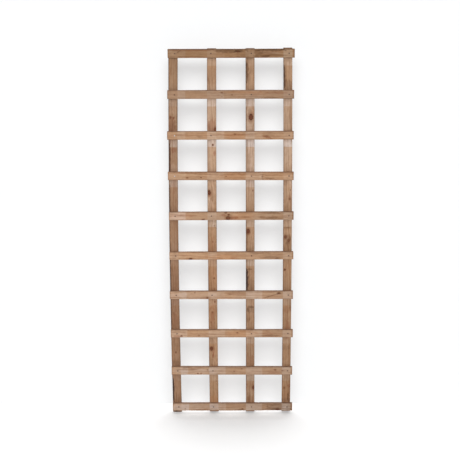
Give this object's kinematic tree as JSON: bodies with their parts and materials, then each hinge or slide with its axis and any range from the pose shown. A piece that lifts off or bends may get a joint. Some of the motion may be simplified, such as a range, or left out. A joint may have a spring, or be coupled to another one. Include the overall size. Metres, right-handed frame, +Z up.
{
  "type": "wooden plant trellis panel",
  "caption": "Tall flat garden trellis of rough-sawn battens, with rails nailed across the front of uprights to form open square cells for climbing plants.",
  "frame": {"origin": "centre of the panel's box, at the height of its lowest foot", "axes": "+Z up the uprights, +X to the right seen from the front, +Y out of the back"},
  "size_m": [0.61, 0.038, 1.83],
  "materials": {
    "upright_timber": "rough sawn, pressure-treated softwood, warm brown",
    "rail_timber": "rough sawn, pressure-treated softwood, warm brown",
    "nail_steel": "galvanised round wire nail, dulled"
  },
  "bodies": {
    "root": {"upright_left": "upright_timber", "upright_mid_left": "upright_timber", "upright_mid_right": "upright_timber", "upright_right": "upright_timber", "rail_01": "rail_timber", "rail_02": "rail_timber", "rail_03": "rail_timber", "rail_04": "rail_timber", "rail_05": "rail_timber", "rail_06": "rail_timber", "rail_07": "rail_timber", "rail_08": "rail_timber", "rail_09": "rail_timber", "rail_10": "rail_timber", "nails_rail_01": "nail_steel", "nails_rail_02": "nail_steel", "nails_rail_03": "nail_steel", "nails_rail_04": "nail_steel", "nails_rail_05": "nail_steel", "nails_rail_06": "nail_steel", "nails_rail_07": "nail_steel", "nails_rail_08": "nail_steel", "nails_rail_09": "nail_steel", "nails_rail_10": "nail_steel"}
  },
  "joints": []
}
